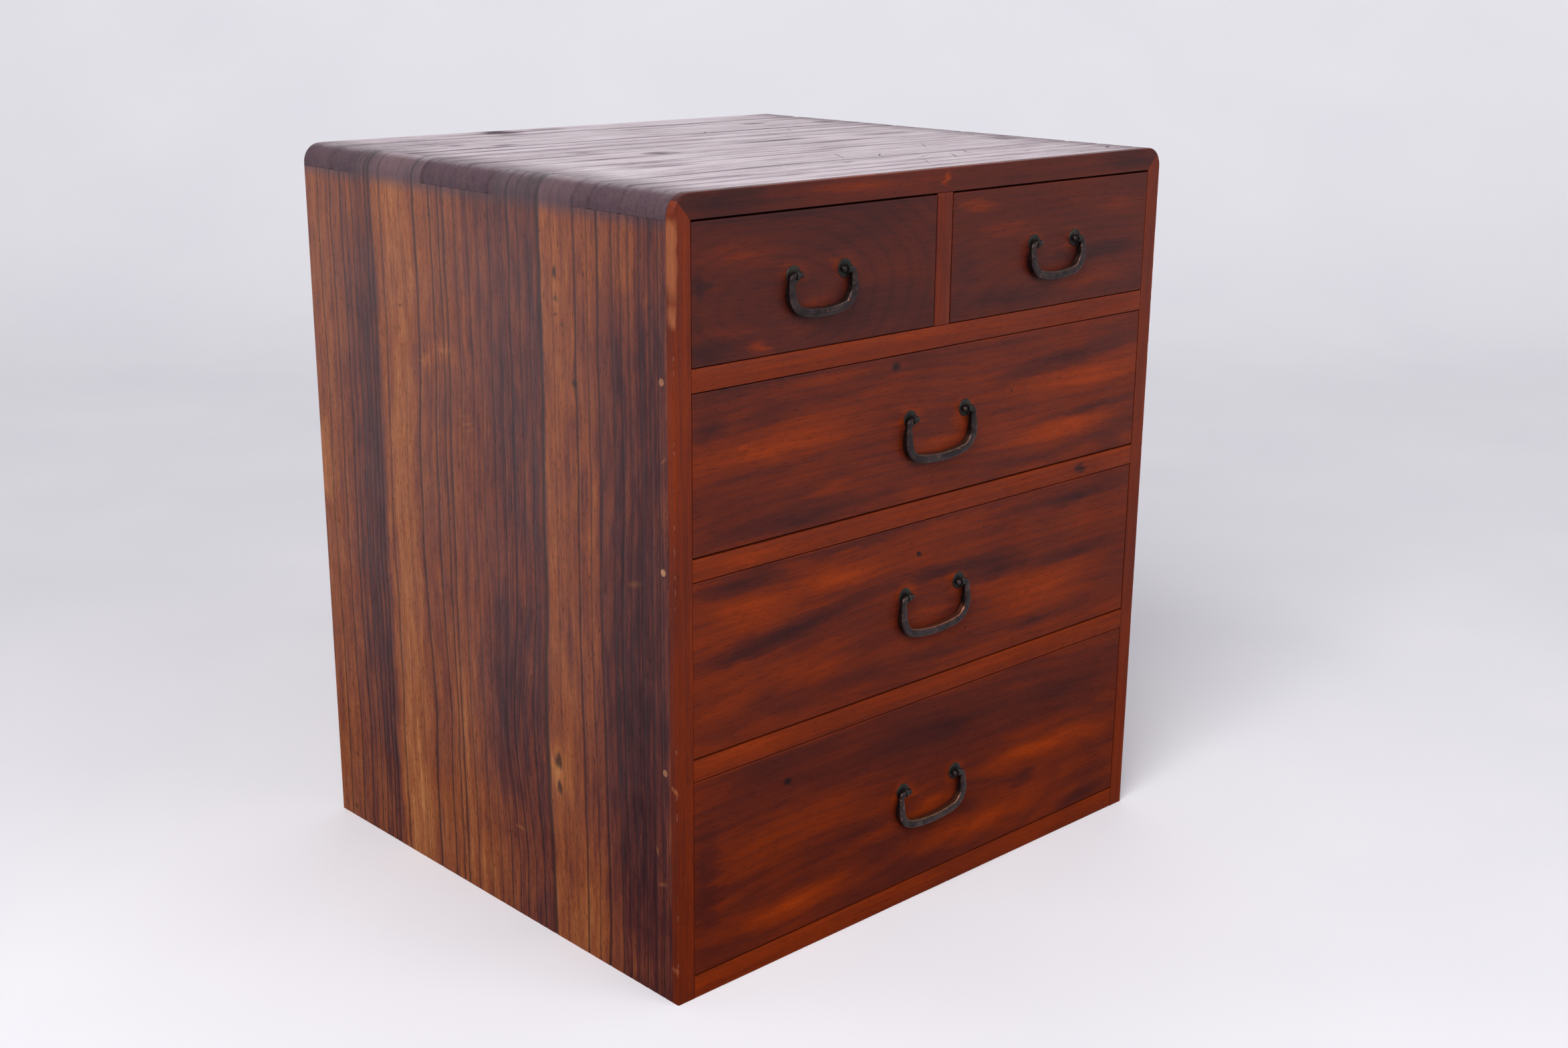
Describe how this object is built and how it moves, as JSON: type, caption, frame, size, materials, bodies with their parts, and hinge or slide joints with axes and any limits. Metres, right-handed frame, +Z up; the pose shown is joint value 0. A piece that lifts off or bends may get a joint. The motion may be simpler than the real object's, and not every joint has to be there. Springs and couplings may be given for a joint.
{
  "type": "chest of drawers",
  "caption": "Small pegged wooden chest: two small drawers over three wide ones that slide out, each with a forged swinging bail pull.",
  "frame": {"origin": "middle of the case's footprint, on the surface it stands on", "axes": "+Z up, +X to the right as seen from the front, the drawers open towards -Y"},
  "size_m": [0.41, 0.3654, 0.4562],
  "materials": {
    "stained_softwood": "stained and worn satin",
    "facing_hardwood": "wiped lacquer, satin",
    "front_hardwood": "wiped lacquer, satin",
    "inner_softwood": "bare planed",
    "peg_wood": "bare cut",
    "forged_iron": "forged, waxed black"
  },
  "bodies": {
    "case": {"left_side": "stained_softwood", "right_side": "stained_softwood", "top_board": "stained_softwood", "bottom_board": "inner_softwood", "partition": "inner_softwood", "lower_shelf": "inner_softwood", "middle_shelf": "inner_softwood", "upper_shelf": "inner_softwood", "back_board_1": "inner_softwood", "back_board_2": "inner_softwood", "back_board_3": "inner_softwood", "left_stile": "facing_hardwood", "right_stile": "facing_hardwood", "top_rail": "facing_hardwood", "bottom_rail": "facing_hardwood", "lower_rail": "facing_hardwood", "middle_rail": "facing_hardwood", "upper_rail": "facing_hardwood", "divider_strip": "facing_hardwood", "case_pegs": "peg_wood"},
    "top_left_drawer": {"top_left_drawer_front": "front_hardwood", "top_left_drawer_left_side": "inner_softwood", "top_left_drawer_right_side": "inner_softwood", "top_left_drawer_back": "inner_softwood", "top_left_drawer_bottom": "inner_softwood", "top_left_drawer_pegs": "peg_wood", "top_left_pull_mounts": "forged_iron"},
    "top_left_bail": {"top_left_bail": "forged_iron"},
    "top_right_drawer": {"top_right_drawer_front": "front_hardwood", "top_right_drawer_left_side": "inner_softwood", "top_right_drawer_right_side": "inner_softwood", "top_right_drawer_back": "inner_softwood", "top_right_drawer_bottom": "inner_softwood", "top_right_drawer_pegs": "peg_wood", "top_right_pull_mounts": "forged_iron"},
    "top_right_bail": {"top_right_bail": "forged_iron"},
    "second_drawer": {"second_drawer_front": "front_hardwood", "second_drawer_left_side": "inner_softwood", "second_drawer_right_side": "inner_softwood", "second_drawer_back": "inner_softwood", "second_drawer_bottom": "inner_softwood", "second_drawer_pegs": "peg_wood", "second_pull_mounts": "forged_iron"},
    "second_bail": {"second_bail": "forged_iron"},
    "third_drawer": {"third_drawer_front": "front_hardwood", "third_drawer_left_side": "inner_softwood", "third_drawer_right_side": "inner_softwood", "third_drawer_back": "inner_softwood", "third_drawer_bottom": "inner_softwood", "third_drawer_pegs": "peg_wood", "third_pull_mounts": "forged_iron"},
    "third_bail": {"third_bail": "forged_iron"},
    "bottom_drawer": {"bottom_drawer_front": "front_hardwood", "bottom_drawer_left_side": "inner_softwood", "bottom_drawer_right_side": "inner_softwood", "bottom_drawer_back": "inner_softwood", "bottom_drawer_bottom": "inner_softwood", "bottom_drawer_pegs": "peg_wood", "bottom_pull_mounts": "forged_iron"},
    "bottom_bail": {"bottom_bail": "forged_iron"}
  },
  "joints": [
    {"name": "top_left_drawer_slide", "type": "slide", "parent": "case", "child": "top_left_drawer", "axis": [0, -1, 0], "range_m": [0, 0.28]},
    {"name": "top_left_bail_swing", "type": "hinge", "parent": "top_left_drawer", "child": "top_left_bail", "pos_m": [-0.101, -0.1829, 0.4071], "axis": [-1, 0, 0], "range_deg": [-0.9, 180]},
    {"name": "top_right_drawer_slide", "type": "slide", "parent": "case", "child": "top_right_drawer", "axis": [0, -1, 0], "range_m": [0, 0.28]},
    {"name": "top_right_bail_swing", "type": "hinge", "parent": "top_right_drawer", "child": "top_right_bail", "pos_m": [0.1006, -0.1829, 0.4059], "axis": [-1, 0, 0], "range_deg": [-0.9, 180]},
    {"name": "second_drawer_slide", "type": "slide", "parent": "case", "child": "second_drawer", "axis": [0, -1, 0], "range_m": [0, 0.28]},
    {"name": "second_bail_swing", "type": "hinge", "parent": "second_drawer", "child": "second_bail", "pos_m": [-0.0011, -0.1829, 0.31295], "axis": [-1, 0, 0], "range_deg": [-0.8, 180]},
    {"name": "third_drawer_slide", "type": "slide", "parent": "case", "child": "third_drawer", "axis": [0, -1, 0], "range_m": [0, 0.28]},
    {"name": "third_bail_swing", "type": "hinge", "parent": "third_drawer", "child": "third_bail", "pos_m": [-0.0015, -0.1829, 0.2043], "axis": [-1, 0, 0], "range_deg": [-0.8, 180]},
    {"name": "bottom_drawer_slide", "type": "slide", "parent": "case", "child": "bottom_drawer", "axis": [0, -1, 0], "range_m": [0, 0.28]},
    {"name": "bottom_bail_swing", "type": "hinge", "parent": "bottom_drawer", "child": "bottom_bail", "pos_m": [0.0012, -0.1829, 0.0766], "axis": [-1, 0, 0], "range_deg": [-0.8, 180]}
  ]
}
